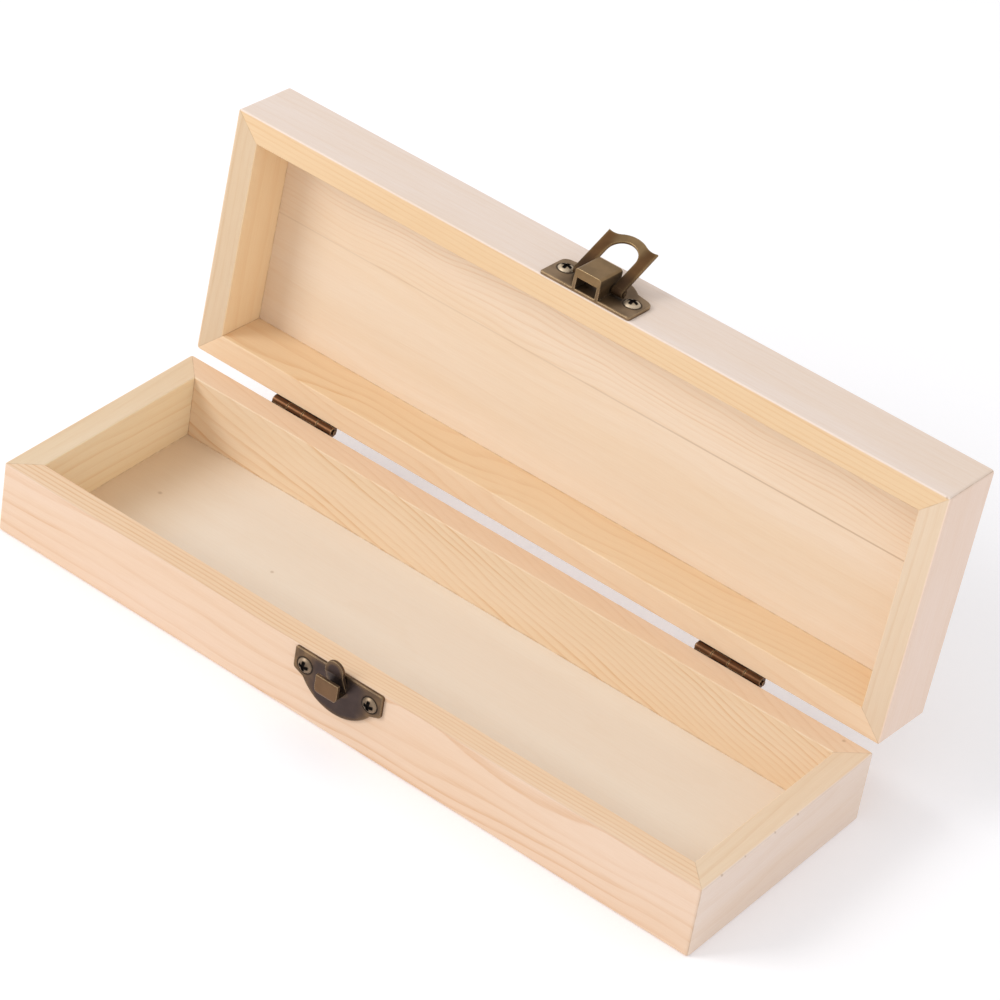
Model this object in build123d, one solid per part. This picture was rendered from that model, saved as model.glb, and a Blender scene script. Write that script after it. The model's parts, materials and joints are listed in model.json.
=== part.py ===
from build123d import *
import math
import os

os.makedirs("parts", exist_ok=True)

# Driving dimensions, in millimetres and degrees.
# X runs along the box, the front faces -Y, Z is up, and the origin is the centre of the underside.
# Everything is drawn with the lid shut, and then the lid and the hasp are turned to where they rest.
box_length = 200.0
box_width = 66.0
base_height = 19.0
lid_height = 18.4
wall = 6.6
bottom_panel = 2.0
top_panel = 4.2
panel_seat = 3.3
panel_fit = 0.1
rim_gap = 0.2
corner_round = 0.8
edge_chamfer = 0.35
rim_chamfer = 0.2
lid_open_angle = 94.3

# Butt hinges, screwed flat on the back with the knuckles outside
hinge_length = 18.2
hinge_leaf_height = 8.0
hinge_leaf_thickness = 0.8
hinge_leaf_corner = 1.0
hinge_knuckle_radius = 1.3
hinge_knuckle_standoff = 0.05
hinge_knuckles = 4
hinge_knuckle_gap = 0.15
hinge_pin_radius = 0.6
hinge_pin_overhang = 0.35
pin_running_fit = 0.04
left_hinge_inset = 34.2
right_hinge_inset = 40.5
hinge_screw_spacing = 11.0
hinge_screw_drop = 5.0
hinge_screw_head_radius = 1.5
hinge_screw_head_rise = 0.5
hinge_screw_length = 4.8

# Clasp plates on the front
clasp_offset = 1.1
plate_thickness = 0.8
plate_bevel = 0.18
plate_half_width = 12.5
latch_ear_height = 9.6
latch_notch_height = 10.5
latch_notch_half_width = 7.7
latch_crown_height = 13.6
latch_ear_round = 2.2
catch_ear_height = 5.9
catch_notch_height = 7.1
catch_notch_half_width = 9.6
catch_crown_height = 12.2
catch_ear_round = 1.0
rim_corner_round = 0.6

# Raised strap on the latch plate, open at both ends, with a lip turned down over its mouth
strap_width = 7.2
strap_top = 6.0
strap_length = 8.4
strap_wall = 0.8
strap_roof = 0.6
strap_round = 0.8
strap_inner_round = 0.3
strap_lip_drop = 2.2

# Hasp with its arched window and its pin
hasp_half_width = 6.85
hasp_thickness = 0.8
hasp_arm_width = 2.9
hasp_shoulder = 12.75
hasp_crown_rise = 1.2
hasp_dip = 0.2
hasp_crown_half_width = 3.4
hasp_crown_foot_rise = 0.35
hasp_end_bar = 0.95
hasp_knuckle_radius = 1.1
hasp_pin_radius = 0.55
hasp_pin_overhang = 0.3
hasp_pin_height = 5.5
hasp_pin_standoff = 2.2
hasp_edge_bevel = 0.15
hasp_open_angle = 154.0

# Hook and tongue of the catch plate
hook_width = 6.3
hook_front = 5.0
hook_metal = 0.8
hook_top_drop = 0.4
hook_bend = 1.4
hook_corner_round = 2.3
hasp_hook_clearance = 0.3
tongue_width = 5.0
tongue_height = 3.7
tongue_standoff = 2.0
tongue_metal = 0.8
tongue_bend_rise = 0.5
tongue_root_drop = 2.3

# Cross-head screws
clasp_screw_half_spacing = 9.3
latch_screw_height = 5.7
catch_screw_drop = 3.85
clasp_screw_head_radius = 2.0
clasp_screw_head_rise = 0.95
clasp_screw_length = 5.4
screw_shank_share = 0.5
screw_shank_sides = 8
screw_fit = 0.03
cross_length_share = 1.25
cross_width_share = 0.35
cross_depth_share = 0.7

# Places that follow from the sizes above
front_face = -box_width / 2
back_face = box_width / 2
lid_rim = base_height + rim_gap
closed_height = lid_rim + lid_height
hinge_leaf_offset = hinge_knuckle_radius + hinge_knuckle_standoff
hinge_axis_y = back_face + hinge_leaf_offset
hinge_axis_z = base_height + rim_gap / 2
hinge_centres = {
    "left": left_hinge_inset - box_length / 2,
    "right": box_length / 2 - right_hinge_inset,
}
hasp_axis_y = front_face - hasp_pin_standoff
hasp_axis_z = lid_rim + hasp_pin_height
hasp_window_half_width = hasp_half_width - hasp_arm_width
hasp_window_end = hasp_shoulder - hasp_end_bar
hook_bottom = hasp_axis_z - hasp_window_end + hasp_hook_clearance
hook_top = base_height - hook_top_drop

centred_on_floor = (Align.CENTER, Align.CENTER, Align.MIN)
centred_below = (Align.CENTER, Align.CENTER, Align.MAX)


def turned_about_x(shape, y, z, angle):
    return Pos(0, y, z) * Rot(angle, 0, 0) * Pos(0, -y, -z) * shape


def lid_opened(shape):
    return turned_about_x(shape, hinge_axis_y, hinge_axis_z, -lid_open_angle)


def hasp_opened(shape):
    return lid_opened(turned_about_x(shape, hasp_axis_y, hasp_axis_z, -hasp_open_angle))


def rod_along_x(radius, length):
    return Rot(0, 90, 0) * Cylinder(radius, length)


def cut_by(shape, tools):
    for tool in tools:
        shape -= tool
    return shape


def save(name, *solids):
    shape = solids[0] if len(solids) == 1 else Compound(children=solids)
    export_step(shape, f"parts/{name}.step")


# Wooden frames, drawn with the closed side at z = 0 and the rim at z = height
def wooden_ring(height, panel):
    ring = Box(box_length, box_width, height, align=centred_on_floor)
    ring = fillet(ring.edges().filter_by(Axis.Z), corner_round)
    ring = chamfer(ring.faces().sort_by(Axis.Z)[0].edges(), edge_chamfer)
    ring -= Box(box_length - 2 * wall, box_width - 2 * wall, height, align=centred_on_floor)
    ring = chamfer(ring.faces().sort_by(Axis.Z)[-1].edges(), rim_chamfer)
    seat_edge = 2 * (wall - panel_seat)
    ring -= Box(box_length - seat_edge, box_width - seat_edge, panel, align=centred_on_floor)
    return ring


def fitted_panel(thickness):
    seat_edge = 2 * (wall - panel_seat + panel_fit)
    return Box(box_length - seat_edge, box_width - seat_edge, thickness, align=centred_on_floor)


# The four walls meet in mitres, on the lines that run in at 45 degrees from the corners.
def mitred_walls(ring, height):
    half_length = box_length / 2
    half_width = box_width / 2
    ridge = half_length - half_width
    outlines = {
        "front": [(-half_length, -half_width), (half_length, -half_width), (ridge, 0), (-ridge, 0)],
        "back": [(half_length, half_width), (-half_length, half_width), (-ridge, 0), (ridge, 0)],
        "left": [(-half_length, half_width), (-half_length, -half_width), (-ridge, 0)],
        "right": [(half_length, -half_width), (half_length, half_width), (ridge, 0)],
    }
    walls = {}
    for side, points in outlines.items():
        wedge = extrude(make_face(Polyline(*points, close=True)), amount=height)
        walls[side] = ring & wedge
    return walls


def turned_over_as_lid(shape):
    return Pos(0, 0, closed_height) * Rot(180, 0, 0) * shape


# A screw's head stands on z = 0, and its shank runs down from there.
# The hidden shank and its hole have few flat sides, which line up.
def domed_head(radius, rise):
    dome_radius = (rise**2 + radius**2) / (2 * rise)
    return split(Pos(0, 0, rise - dome_radius) * Sphere(dome_radius), bisect_by=Plane.XY)


def shank_below(radius, length):
    return extrude(RegularPolygon(radius, screw_shank_sides), amount=-length)


def cross_head_screw(head, head_radius, rise, length):
    shank = shank_below(head_radius * screw_shank_share, length)
    slot_length = head_radius * cross_length_share
    slot_width = head_radius * cross_width_share
    slot = Box(slot_length, slot_width, rise * cross_depth_share, align=centred_below)
    cross = Pos(0, 0, rise) * (slot + Rot(0, 0, 90) * slot)
    return head + shank - cross


def screw_hole(head_radius, length):
    return shank_below(head_radius * screw_shank_share + screw_fit, length + screw_fit)


def placed_on_front(screw, height):
    places = [clasp_offset - clasp_screw_half_spacing, clasp_offset + clasp_screw_half_spacing]
    return [Pos(x, front_face - plate_thickness, height) * Rot(90, 0, 0) * screw for x in places]


def placed_on_back(screw, centre, height):
    places = [centre - hinge_screw_spacing / 2, centre + hinge_screw_spacing / 2]
    return [Pos(x, back_face + hinge_leaf_thickness, height) * Rot(-90, 0, 0) * screw for x in places]


# A hinge leaf hangs below its axis, flat on the wood, and has every second knuckle.
# Turned half round the Y axis it is the other leaf, with the knuckles between.
def hinge_leaf():
    slot = hinge_length / hinge_knuckles
    knuckle_length = slot - hinge_knuckle_gap
    notch_edge = hinge_knuckle_radius + hinge_knuckle_gap
    leaf_y = hinge_leaf_thickness / 2 - hinge_leaf_offset
    plate_height = hinge_leaf_height - notch_edge
    plate = Box(hinge_length, hinge_leaf_thickness, plate_height, align=centred_below)
    corners = plate.edges().filter_by(Axis.Y).group_by(Axis.Z)[0]
    leaf = Pos(0, leaf_y, -notch_edge) * fillet(corners, hinge_leaf_corner)
    for index in range(0, hinge_knuckles, 2):
        x = (index + 0.5) * slot - hinge_length / 2
        tab = Box(knuckle_length, hinge_leaf_thickness, notch_edge, align=centred_below)
        leaf += Pos(x, leaf_y, 0) * tab
        leaf += Pos(x, 0, 0) * rod_along_x(hinge_knuckle_radius, knuckle_length)
    return leaf


# Clasp plates lie in X and Y with the rim edge on y = 0, and grow outwards along Z.
def clasp_plate(ear, notch, notch_half_width, crown, ear_round):
    outline = Polyline(
        (-notch_half_width, notch),
        (-plate_half_width, ear),
        (-plate_half_width, 0),
        (plate_half_width, 0),
        (plate_half_width, ear),
        (notch_half_width, notch),
    )
    outline += ThreePointArc((notch_half_width, notch), (0, crown), (-notch_half_width, notch))
    face = make_face(outline)
    face = fillet(face.vertices().sort_by(lambda corner: abs(corner.Y))[2:4], ear_round)
    face = fillet(face.vertices().sort_by(lambda corner: abs(corner.Y))[0:2], rim_corner_round)
    plate = extrude(face, amount=plate_thickness)
    return chamfer(plate.faces().sort_by(Axis.Z)[-1].edges(), plate_bevel)


def placed_on_plate(shape, height):
    return Pos(clasp_offset, front_face, height) * (Plane.XZ * shape)


def strap():
    start = (Align.CENTER, Align.MIN, Align.MIN)
    outside = Box(strap_width, strap_length, strap_top, align=start)
    outside = fillet(outside.edges().filter_by(Axis.Y).group_by(Axis.Z)[-1], strap_round)
    inside = Box(strap_width - 2 * strap_wall, strap_length, strap_top - strap_roof, align=start)
    inside = fillet(inside.edges().filter_by(Axis.Y).group_by(Axis.Z)[-1], strap_inner_round)
    lip = Pos(0, 0, strap_top - strap_lip_drop) * Box(strap_width, strap_roof, strap_lip_drop, align=start)
    return outside - inside + (outside & lip)


# The hook is a bent strip whose lower corners are cut round.
def hook():
    bottom = hook_bottom - base_height
    start = (Align.CENTER, Align.MIN, Align.MIN)
    outside = Box(hook_width, hook_top - hook_bottom, hook_front, align=start)
    inside = Box(hook_width, hook_top - hook_bottom, hook_front - hook_metal, align=start)
    outer_bend = outside.edges().filter_by(Axis.X).group_by(Axis.Z)[-1].sort_by(Axis.Y)[0]
    inner_bend = inside.edges().filter_by(Axis.X).group_by(Axis.Z)[-1].sort_by(Axis.Y)[0]
    outside = fillet(outer_bend, hook_bend)
    inside = fillet(inner_bend, hook_bend - hook_metal)
    strip = outside - Pos(0, hook_metal, 0) * inside
    shield = Box(hook_width, hook_top - hook_bottom, hook_front, align=start)
    shield = fillet(shield.edges().filter_by(Axis.Z).group_by(Axis.Y)[0], hook_corner_round)
    return Pos(0, bottom, 0) * (strip & shield)


# The tongue leaves the plate at a slant, stands upright and has a round end.
def tongue():
    slant = math.atan2(tongue_standoff - plate_thickness, tongue_root_drop + tongue_bend_rise)
    front_side = tongue_standoff + tongue_metal
    front_bend_rise = tongue_bend_rise - tongue_metal * math.tan(slant / 2)
    front_root_drop = (front_side - plate_thickness) / math.tan(slant) - front_bend_rise
    side_view = Polyline(
        (-tongue_root_drop, plate_thickness),
        (tongue_bend_rise, tongue_standoff),
        (tongue_height, tongue_standoff),
        (tongue_height, front_side),
        (front_bend_rise, front_side),
        (-front_root_drop, plate_thickness),
        close=True,
    )
    strip = extrude(Plane.YZ * make_face(side_view), amount=tongue_width / 2, both=True)
    front_view = Pos(0, tongue_height - tongue_width / 2) * Circle(tongue_width / 2)
    front_view += Pos(0, tongue_height - tongue_width / 2) * Rectangle(
        tongue_width,
        tongue_height + front_root_drop,
        align=(Align.CENTER, Align.MAX),
    )
    return strip & extrude(front_view, amount=front_side)


# The hasp hangs from its pin at the origin, and its plate is on the side towards the wood.
def hasp():
    foot_x = hasp_crown_half_width
    foot_y = -hasp_shoulder - hasp_crown_foot_rise
    dip_x = (hasp_half_width + hasp_crown_half_width) / 2
    dip_y = hasp_dip - hasp_shoulder
    outline = ThreePointArc((-foot_x, foot_y), (0, -hasp_shoulder - hasp_crown_rise), (foot_x, foot_y))
    outline += ThreePointArc((foot_x, foot_y), (dip_x, dip_y), (hasp_half_width, -hasp_shoulder))
    outline += Polyline(
        (hasp_half_width, -hasp_shoulder),
        (hasp_half_width, 0),
        (-hasp_half_width, 0),
        (-hasp_half_width, -hasp_shoulder),
    )
    outline += ThreePointArc((-hasp_half_width, -hasp_shoulder), (-dip_x, dip_y), (-foot_x, foot_y))
    arch_y = hasp_window_half_width - hasp_window_end
    window = Pos(0, arch_y) * Circle(hasp_window_half_width)
    window += Rectangle(2 * hasp_window_half_width, -arch_y, align=(Align.CENTER, Align.MAX))
    plate = extrude(make_face(outline) - window, amount=hasp_thickness)
    flat_faces = plate.faces().filter_by(Axis.Z)
    plate = chamfer(flat_faces.edges(), hasp_edge_bevel)
    plate = Pos(0, 0, -hasp_knuckle_radius) * plate
    bore = rod_along_x(hasp_pin_radius + pin_running_fit, 2 * hasp_half_width)
    arm_centre = hasp_half_width - hasp_arm_width / 2
    for x in (-arm_centre, arm_centre):
        plate += Pos(x, 0, 0) * rod_along_x(hasp_knuckle_radius, hasp_arm_width)
    return plate - bore


# Screws and the holes that they leave in metal and wood
clasp_screw = cross_head_screw(
    domed_head(clasp_screw_head_radius, clasp_screw_head_rise),
    clasp_screw_head_radius,
    clasp_screw_head_rise,
    clasp_screw_length,
)
hinge_screw = cross_head_screw(
    Cylinder(hinge_screw_head_radius, hinge_screw_head_rise, align=centred_on_floor),
    hinge_screw_head_radius,
    hinge_screw_head_rise,
    hinge_screw_length,
)
clasp_screw_hole = screw_hole(clasp_screw_head_radius, clasp_screw_length)
hinge_screw_hole = screw_hole(hinge_screw_head_radius, hinge_screw_length)

latch_screw_z = lid_rim + latch_screw_height
catch_screw_z = base_height - catch_screw_drop
base_hinge_screw_z = hinge_axis_z - hinge_screw_drop
lid_hinge_screw_z = hinge_axis_z + hinge_screw_drop
latch_holes = placed_on_front(clasp_screw_hole, latch_screw_z)
catch_holes = placed_on_front(clasp_screw_hole, catch_screw_z)
base_hinge_holes = []
lid_hinge_holes = []
for centre in hinge_centres.values():
    base_hinge_holes += placed_on_back(hinge_screw_hole, centre, base_hinge_screw_z)
    lid_hinge_holes += placed_on_back(hinge_screw_hole, centre, lid_hinge_screw_z)

# Wood of the base
base_walls = mitred_walls(wooden_ring(base_height, bottom_panel), base_height)
save("base_front_wall", cut_by(base_walls["front"], catch_holes))
save("base_back_wall", cut_by(base_walls["back"], base_hinge_holes))
save("base_left_wall", base_walls["left"])
save("base_right_wall", base_walls["right"])
save("base_bottom_panel", fitted_panel(bottom_panel))

# Wood of the lid, whose front was the back of the frame before it was turned over
lid_walls = mitred_walls(wooden_ring(lid_height, top_panel), lid_height)
lid_front_wall = cut_by(turned_over_as_lid(lid_walls["back"]), latch_holes)
lid_back_wall = cut_by(turned_over_as_lid(lid_walls["front"]), lid_hinge_holes)
save("lid_front_wall", lid_opened(lid_front_wall))
save("lid_back_wall", lid_opened(lid_back_wall))
save("lid_left_wall", lid_opened(turned_over_as_lid(lid_walls["left"])))
save("lid_right_wall", lid_opened(turned_over_as_lid(lid_walls["right"])))
save("lid_top_panel", lid_opened(turned_over_as_lid(fitted_panel(top_panel))))

# Hinges
for side, centre in hinge_centres.items():
    axis_middle = Pos(centre, hinge_axis_y, hinge_axis_z)
    pin_length = hinge_length + 2 * hinge_pin_overhang
    pin = axis_middle * rod_along_x(hinge_pin_radius, pin_length)
    running_bore = axis_middle * rod_along_x(hinge_pin_radius + pin_running_fit, pin_length)
    base_leaf = cut_by(axis_middle * hinge_leaf(), base_hinge_holes + [pin])
    lid_leaf = cut_by(axis_middle * Rot(0, 180, 0) * hinge_leaf(), lid_hinge_holes + [running_bore])
    base_screws = placed_on_back(hinge_screw, centre, base_hinge_screw_z)
    lid_screws = placed_on_back(hinge_screw, centre, lid_hinge_screw_z)
    save(f"{side}_hinge_base_leaf", base_leaf)
    save(f"{side}_hinge_lid_leaf", lid_opened(lid_leaf))
    save(f"{side}_hinge_pin", pin)
    save(f"{side}_hinge_base_screws", *base_screws)
    save(f"{side}_hinge_lid_screws", *[lid_opened(screw) for screw in lid_screws])

# Latch plate with its strap, and the hasp on its pin
latch = clasp_plate(
    latch_ear_height,
    latch_notch_height,
    latch_notch_half_width,
    latch_crown_height,
    latch_ear_round,
)
latch = placed_on_plate(latch + strap(), lid_rim)
hasp_axis_middle = Pos(clasp_offset, hasp_axis_y, hasp_axis_z)
hasp_pin_length = 2 * (hasp_half_width + hasp_pin_overhang)
hasp_pin = hasp_axis_middle * rod_along_x(hasp_pin_radius, hasp_pin_length)
save("latch_plate", lid_opened(cut_by(latch, latch_holes + [hasp_pin])))
save("hasp_pin", lid_opened(hasp_pin))
save("hasp", hasp_opened(hasp_axis_middle * (Plane.XZ * hasp())))
save("latch_screws", *[lid_opened(screw) for screw in placed_on_front(clasp_screw, latch_screw_z)])

# Catch plate with its hook and tongue
catch = clasp_plate(
    -catch_ear_height,
    -catch_notch_height,
    catch_notch_half_width,
    -catch_crown_height,
    catch_ear_round,
)
catch = placed_on_plate(catch + hook() + tongue(), base_height)
save("catch_plate", cut_by(catch, catch_holes))
save("catch_screws", *placed_on_front(clasp_screw, catch_screw_z))
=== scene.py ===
"""Looks for a hinged wooden pencil box with a bronze clasp, laid out as an add-on and run as a script."""

import json
import math

import bpy
from bpy.props import FloatProperty, FloatVectorProperty, PointerProperty
from mathutils import Matrix, Vector

bl_info = {
    "name": "Wooden Pencil Box",
    "version": (1, 0, 0),
    "blender": (4, 5, 0),
    "location": "3D View > Sidebar > Pencil Box",
    "description": "Finishes a hinged pine box and its bronze fittings, and sets it on a pale stage",
    "category": "Object",
}

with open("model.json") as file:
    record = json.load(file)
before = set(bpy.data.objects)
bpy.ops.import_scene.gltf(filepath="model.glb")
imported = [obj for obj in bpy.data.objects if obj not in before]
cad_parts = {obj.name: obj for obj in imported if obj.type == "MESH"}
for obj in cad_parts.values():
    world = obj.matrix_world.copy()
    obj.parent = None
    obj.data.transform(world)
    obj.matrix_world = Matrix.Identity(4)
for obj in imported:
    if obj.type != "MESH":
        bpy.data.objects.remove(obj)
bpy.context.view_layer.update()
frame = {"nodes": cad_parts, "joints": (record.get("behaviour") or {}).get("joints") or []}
JOINTS = {joint["name"]: joint for joint in frame["joints"]}
MM = 0.001

FLOAT, VECTOR, COLOUR = "NodeSocketFloat", "NodeSocketVector", "NodeSocketColor"

# Each board's grain, in millimetres on the shut box with the first axis along the board: where the pith
# is across the board, how it leans along the board, the width of a ring, how the rings wave, how strongly
# they show at the rim, on the sanded outer face and on the inner face, the colours of these three, and
# dark specks (x, y, z, radius). The three colours are set face by face and hold part of the light on each
# face as painted light; the left walls' inner colours are painted lighter for light bounced inside the box.
BOARDS = {
    "base_front_wall": dict(
        pith=(56.0, 36.0), lean=(0.01, 0.02), rings=1.15, wave=1.1, shows=(0.85, 0.70, 0.50), seed=11.0,
        rim=(0.86, 0.65, 0.465), skin=(0.79, 0.595, 0.455), inner=(0.88, 0.70, 0.50), specks=(),
    ),
    "base_back_wall": dict(
        pith=(-44.0, -62.0), lean=(0.03, -0.30), rings=1.45, wave=2.0, shows=(0.30, 0.50, 0.90), seed=47.0,
        rim=(0.85, 0.64, 0.465), skin=(0.85, 0.64, 0.46), inner=(0.875, 0.705, 0.52),
        specks=((92.9, 31.5, 19.0, 0.5),),
    ),
    "base_left_wall": dict(
        pith=(-20.0, 90.0), lean=(0.02, 0.02), rings=2.2, wave=1.2, shows=(0.45, 0.40, 0.50), seed=83.0,
        rim=(0.81, 0.65, 0.47), skin=(0.86, 0.68, 0.52), inner=(1.0, 0.86, 0.62), specks=(),
    ),
    "base_right_wall": dict(
        pith=(-82.0, 66.0), lean=(0.03, 0.02), rings=2.4, wave=1.2, shows=(0.35, 0.14, 0.30), seed=29.0,
        rim=(0.82, 0.65, 0.48), skin=(0.86, 0.72, 0.63), inner=(0.84, 0.68, 0.50),
        specks=(
            (100.0, -25.5, 19.0, 0.5),
            (100.0, -16.8, 19.0, 0.35),
            (100.0, -5.5, 19.0, 0.4),
            (100.0, 3.2, 19.0, 0.45),
        ),
    ),
    "lid_front_wall": dict(
        pith=(-100.0, -14.0), lean=(0.012, 0.015), rings=1.25, wave=0.7, shows=(0.80, 0.18, 0.50), seed=61.0,
        rim=(0.80, 0.585, 0.365), skin=(0.855, 0.73, 0.655), inner=(0.84, 0.66, 0.46),
        specks=((99.0, -32.7, 19.2, 0.4),),
    ),
    "lid_back_wall": dict(
        pith=(70.0, 58.0), lean=(-0.02, 0.16), rings=2.0, wave=3.6, shows=(0.35, 0.50, 0.65), seed=17.0,
        rim=(0.86, 0.66, 0.47), skin=(0.85, 0.64, 0.46), inner=(0.88, 0.68, 0.46), specks=(),
    ),
    "lid_left_wall": dict(
        pith=(60.0, -30.0), lean=(0.02, 0.02), rings=2.2, wave=1.3, shows=(0.40, 0.35, 0.45), seed=71.0,
        rim=(0.70, 0.545, 0.385), skin=(0.84, 0.66, 0.50), inner=(1.0, 0.82, 0.575), specks=(),
    ),
    "lid_right_wall": dict(
        pith=(-76.0, 72.0), lean=(0.02, 0.02), rings=2.2, wave=1.2, shows=(0.30, 0.12, 0.30), seed=37.0,
        rim=(0.77, 0.62, 0.47), skin=(0.895, 0.72, 0.62), inner=(0.82, 0.66, 0.48), specks=(),
    ),
    "lid_top_panel": dict(
        pith=(-70.0, 92.0), lean=(0.05, 0.05), rings=0.95, wave=3.0, shows=(0.50, 0.50, 0.62), seed=53.0,
        rim=(0.875, 0.73, 0.57), skin=(0.85, 0.66, 0.50), inner=(0.85, 0.70, 0.55), specks=(),
    ),
}
# The lid's panel is two boards glued edge to edge: where the line lies across the box, how it fades to its
# sides, where it comes in along the box, how strongly it shows, and the grain of the board behind it.
GLUE_LINE = -3.4
GLUE_SIDES = (0.08, 0.3)
GLUE_ALONG = (-34.0, 60.0)
GLUE_SHOW = 0.45
SECOND_BOARD = dict(pith=(130.0, 78.0), lean=(0.02, 0.01), rings=3.4, wave=3.0, seed=97.0)
SECOND_SHOW = 0.14
# Heights on the shut box: where the walls meet each panel, and where the lid panel's outer face begins.
BASE_PANEL_Z = 2.0
LID_PANEL_Z = 33.4
LID_PANEL_SKIN = (36.8, 37.4)
# The plywood's grain, how strongly it shows, where along the box the painted shadow at its left end fades,
# and specks.
PLYWOOD = dict(pith=(10.0, -90.0), lean=(0.0, 0.0), rings=4.0, wave=6.0, seed=5.0)
PLYWOOD_SHOW = 0.10
PLYWOOD_LEFT_SHADOW = (-92.0, -62.0)
PLYWOOD_SPECKS = ((-82.4, 3.8, 2.0, 0.6), (-44.8, 0.5, 2.0, 0.5))
# All wood: its sheen, and how strongly the pine's pores show.
WOOD_SPECULAR = 0.3
PORES_SHOW = 0.12

# Bronze tones: the flat middle, the thinly worn border and how far in it reaches, the rubbed edge, which is
# rubbed brass and a painted highlight, and the raised part. Depths say how far in front of the box's middle
# the raised part's colour comes in.
BRONZES = {
    "catch": dict(
        middle=(0.072, 0.048, 0.042), border=(0.205, 0.125, 0.064), edge=(0.46, 0.34, 0.19),
        raised=(0.175, 0.097, 0.048), depths=(37.5, 37.9), reach=1.7,
    ),
    "latch": dict(
        middle=(0.175, 0.108, 0.054), border=(0.285, 0.190, 0.110), edge=(0.66, 0.47, 0.26),
        raised=(0.265, 0.168, 0.080), depths=(35.5, 37.5), reach=1.2,
    ),
    "hasp": dict(
        middle=(0.150, 0.073, 0.028), border=(0.230, 0.140, 0.058), edge=(0.54, 0.37, 0.18),
        raised=(0.270, 0.175, 0.085), reach=1.1,
    ),
    "hinge": dict(
        middle=(0.098, 0.040, 0.015), border=(0.190, 0.105, 0.050), edge=(0.62, 0.42, 0.22), reach=0.7,
    ),
    "catch screw": dict(
        middle=(0.29, 0.21, 0.14), border=(0.29, 0.21, 0.14), edge=(0.50, 0.39, 0.27),
        raised=(0.13, 0.090, 0.060), reach=0.4,
    ),
    "latch screw": dict(
        middle=(0.62, 0.50, 0.36), border=(0.62, 0.50, 0.36), edge=(0.78, 0.66, 0.50),
        raised=(0.28, 0.20, 0.12), reach=0.4,
    ),
}
# Painted shade: its colour, and how dense it is in corners, on the strap's sides, round the screws and at the
# hasp's root.
PAINTED_SHADE_COLOUR = (0.016, 0.011, 0.009)
PAINTED_SHADE_SHARES = {"corner": 0.55, "strap": 0.6, "screw": 0.85, "root": 0.6}
# How metallic the bronze is, how much smoother the hinges are, and how much of a screw head's raised colour
# its dish takes.
METALLIC = 0.85
HINGE_POLISH = 0.12
DISH_SHARE = 0.7

# The clasp on the shut box, in millimetres: its middle along X, and how far to either side of it the ears
# wear like the borders, the strap's sides take painted shade, the hasp's bow ends and the screws sit.
CLASP_MIDDLE = 1.1
CLASP_EARS = (5.5, 10.0)
STRAP_SIDES = (3.42, 3.56)
HASP_BOW_SIDES = (2.5, 5.5)
CLASP_SCREWS = 9.3
# How far from its pin the painted shade at the hasp's root ends and its brighter bow begins.
HASP_ROOT = (2.0, 6.5)
HASP_BOW = (9.0, 11.0)
# The screws' heights, where the plates' front lies along Y, the screw heads and the painted shade round them.
LATCH_SCREW_Z = 24.9
CATCH_SCREW_Z = 15.15
PLATE_FRONT = -33.8
CLASP_HEAD = {"Radius": 2.0, "Rise": 0.95}
SCREW_SHADE = {"Radius": 2.05, "Softness": 0.55}
# The hinges' middles along X, how far to either side of them the screws sit, and their heights and heads.
HINGE_MIDDLES = {"left": -65.8, "right": 59.5}
HINGE_SCREWS = 5.5
HINGE_SCREWS_Z = {"base": 14.1, "lid": 24.1}
HINGE_HEAD = {"Radius": 1.5, "Rise": 0.5}

# The stage, in metres: the floor's side and how far it lies under the box, the point the large light hangs
# above, and the camera's sensor (in millimetres), shift and clipping distances.
FLOOR_SIDE = 6.0
FLOOR_DROP = 0.0001
KEY_OVER = (0.0, 0.01, 0.03)
SENSOR_WIDTH = 36.0
CAMERA_SHIFT = (0.02016, -0.00777)
CAMERA_CLIP = (0.01, 20.0)


# ---- small helpers for shader nodes


def add_node(tree, kind, values=None, **settings):
    """Add a node, set it up, and fill or link the inputs named or numbered in values."""
    node = tree.nodes.new(kind)
    for name, value in settings.items():
        setattr(node, name, value)
    for name, value in (values or {}).items():
        if isinstance(value, bpy.types.NodeSocket):
            tree.links.new(value, node.inputs[name])
        else:
            node.inputs[name].default_value = value
    return node


def maths(tree, operation, *values):
    """A Math node's output, from numbers or other outputs."""
    return add_node(tree, "ShaderNodeMath", dict(enumerate(values)), operation=operation).outputs[0]


def vector_maths(tree, operation, *values, output="Vector"):
    """A Vector Math node's output, from vectors or other outputs."""
    node = add_node(tree, "ShaderNodeVectorMath", dict(enumerate(values)), operation=operation)
    return node.outputs[output]


def axes_of(tree, vector):
    """The outputs X, Y and Z of a vector."""
    return add_node(tree, "ShaderNodeSeparateXYZ", {"Vector": vector}).outputs


def distance(tree, first, second):
    """How far off a point is, from its two distances along and across."""
    squares = [maths(tree, "MULTIPLY", side, side) for side in (first, second)]
    return maths(tree, "SQRT", maths(tree, "ADD", *squares))


def ramp(tree, value, low, high, start=0.0, end=1.0):
    """A smooth step from start to end as value goes from low to high."""
    values = {"Value": value, "From Min": low, "From Max": high, "To Min": start, "To Max": end}
    return add_node(tree, "ShaderNodeMapRange", values, interpolation_type="SMOOTHSTEP").outputs["Result"]


def mixed(tree, share, first, second, blend="MIX"):
    """Two colours mixed by a share."""
    values = {0: share, 6: first, 7: second}
    return add_node(tree, "ShaderNodeMix", values, data_type="RGBA", blend_type=blend).outputs[2]


def noise(tree, place, scale, detail=2.0, roughness=0.5, output="Fac"):
    """A Noise texture's output at a place."""
    values = {"Vector": place, "Scale": scale, "Detail": detail, "Roughness": roughness}
    return add_node(tree, "ShaderNodeTexNoise", values).outputs[output]


def stretched(tree, place, along, across=1.0):
    """The place squeezed or stretched along the grain and across it."""
    values = {"Vector": place, "Scale": (along, across, across)}
    return add_node(tree, "ShaderNodeMapping", values).outputs[0]


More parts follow.
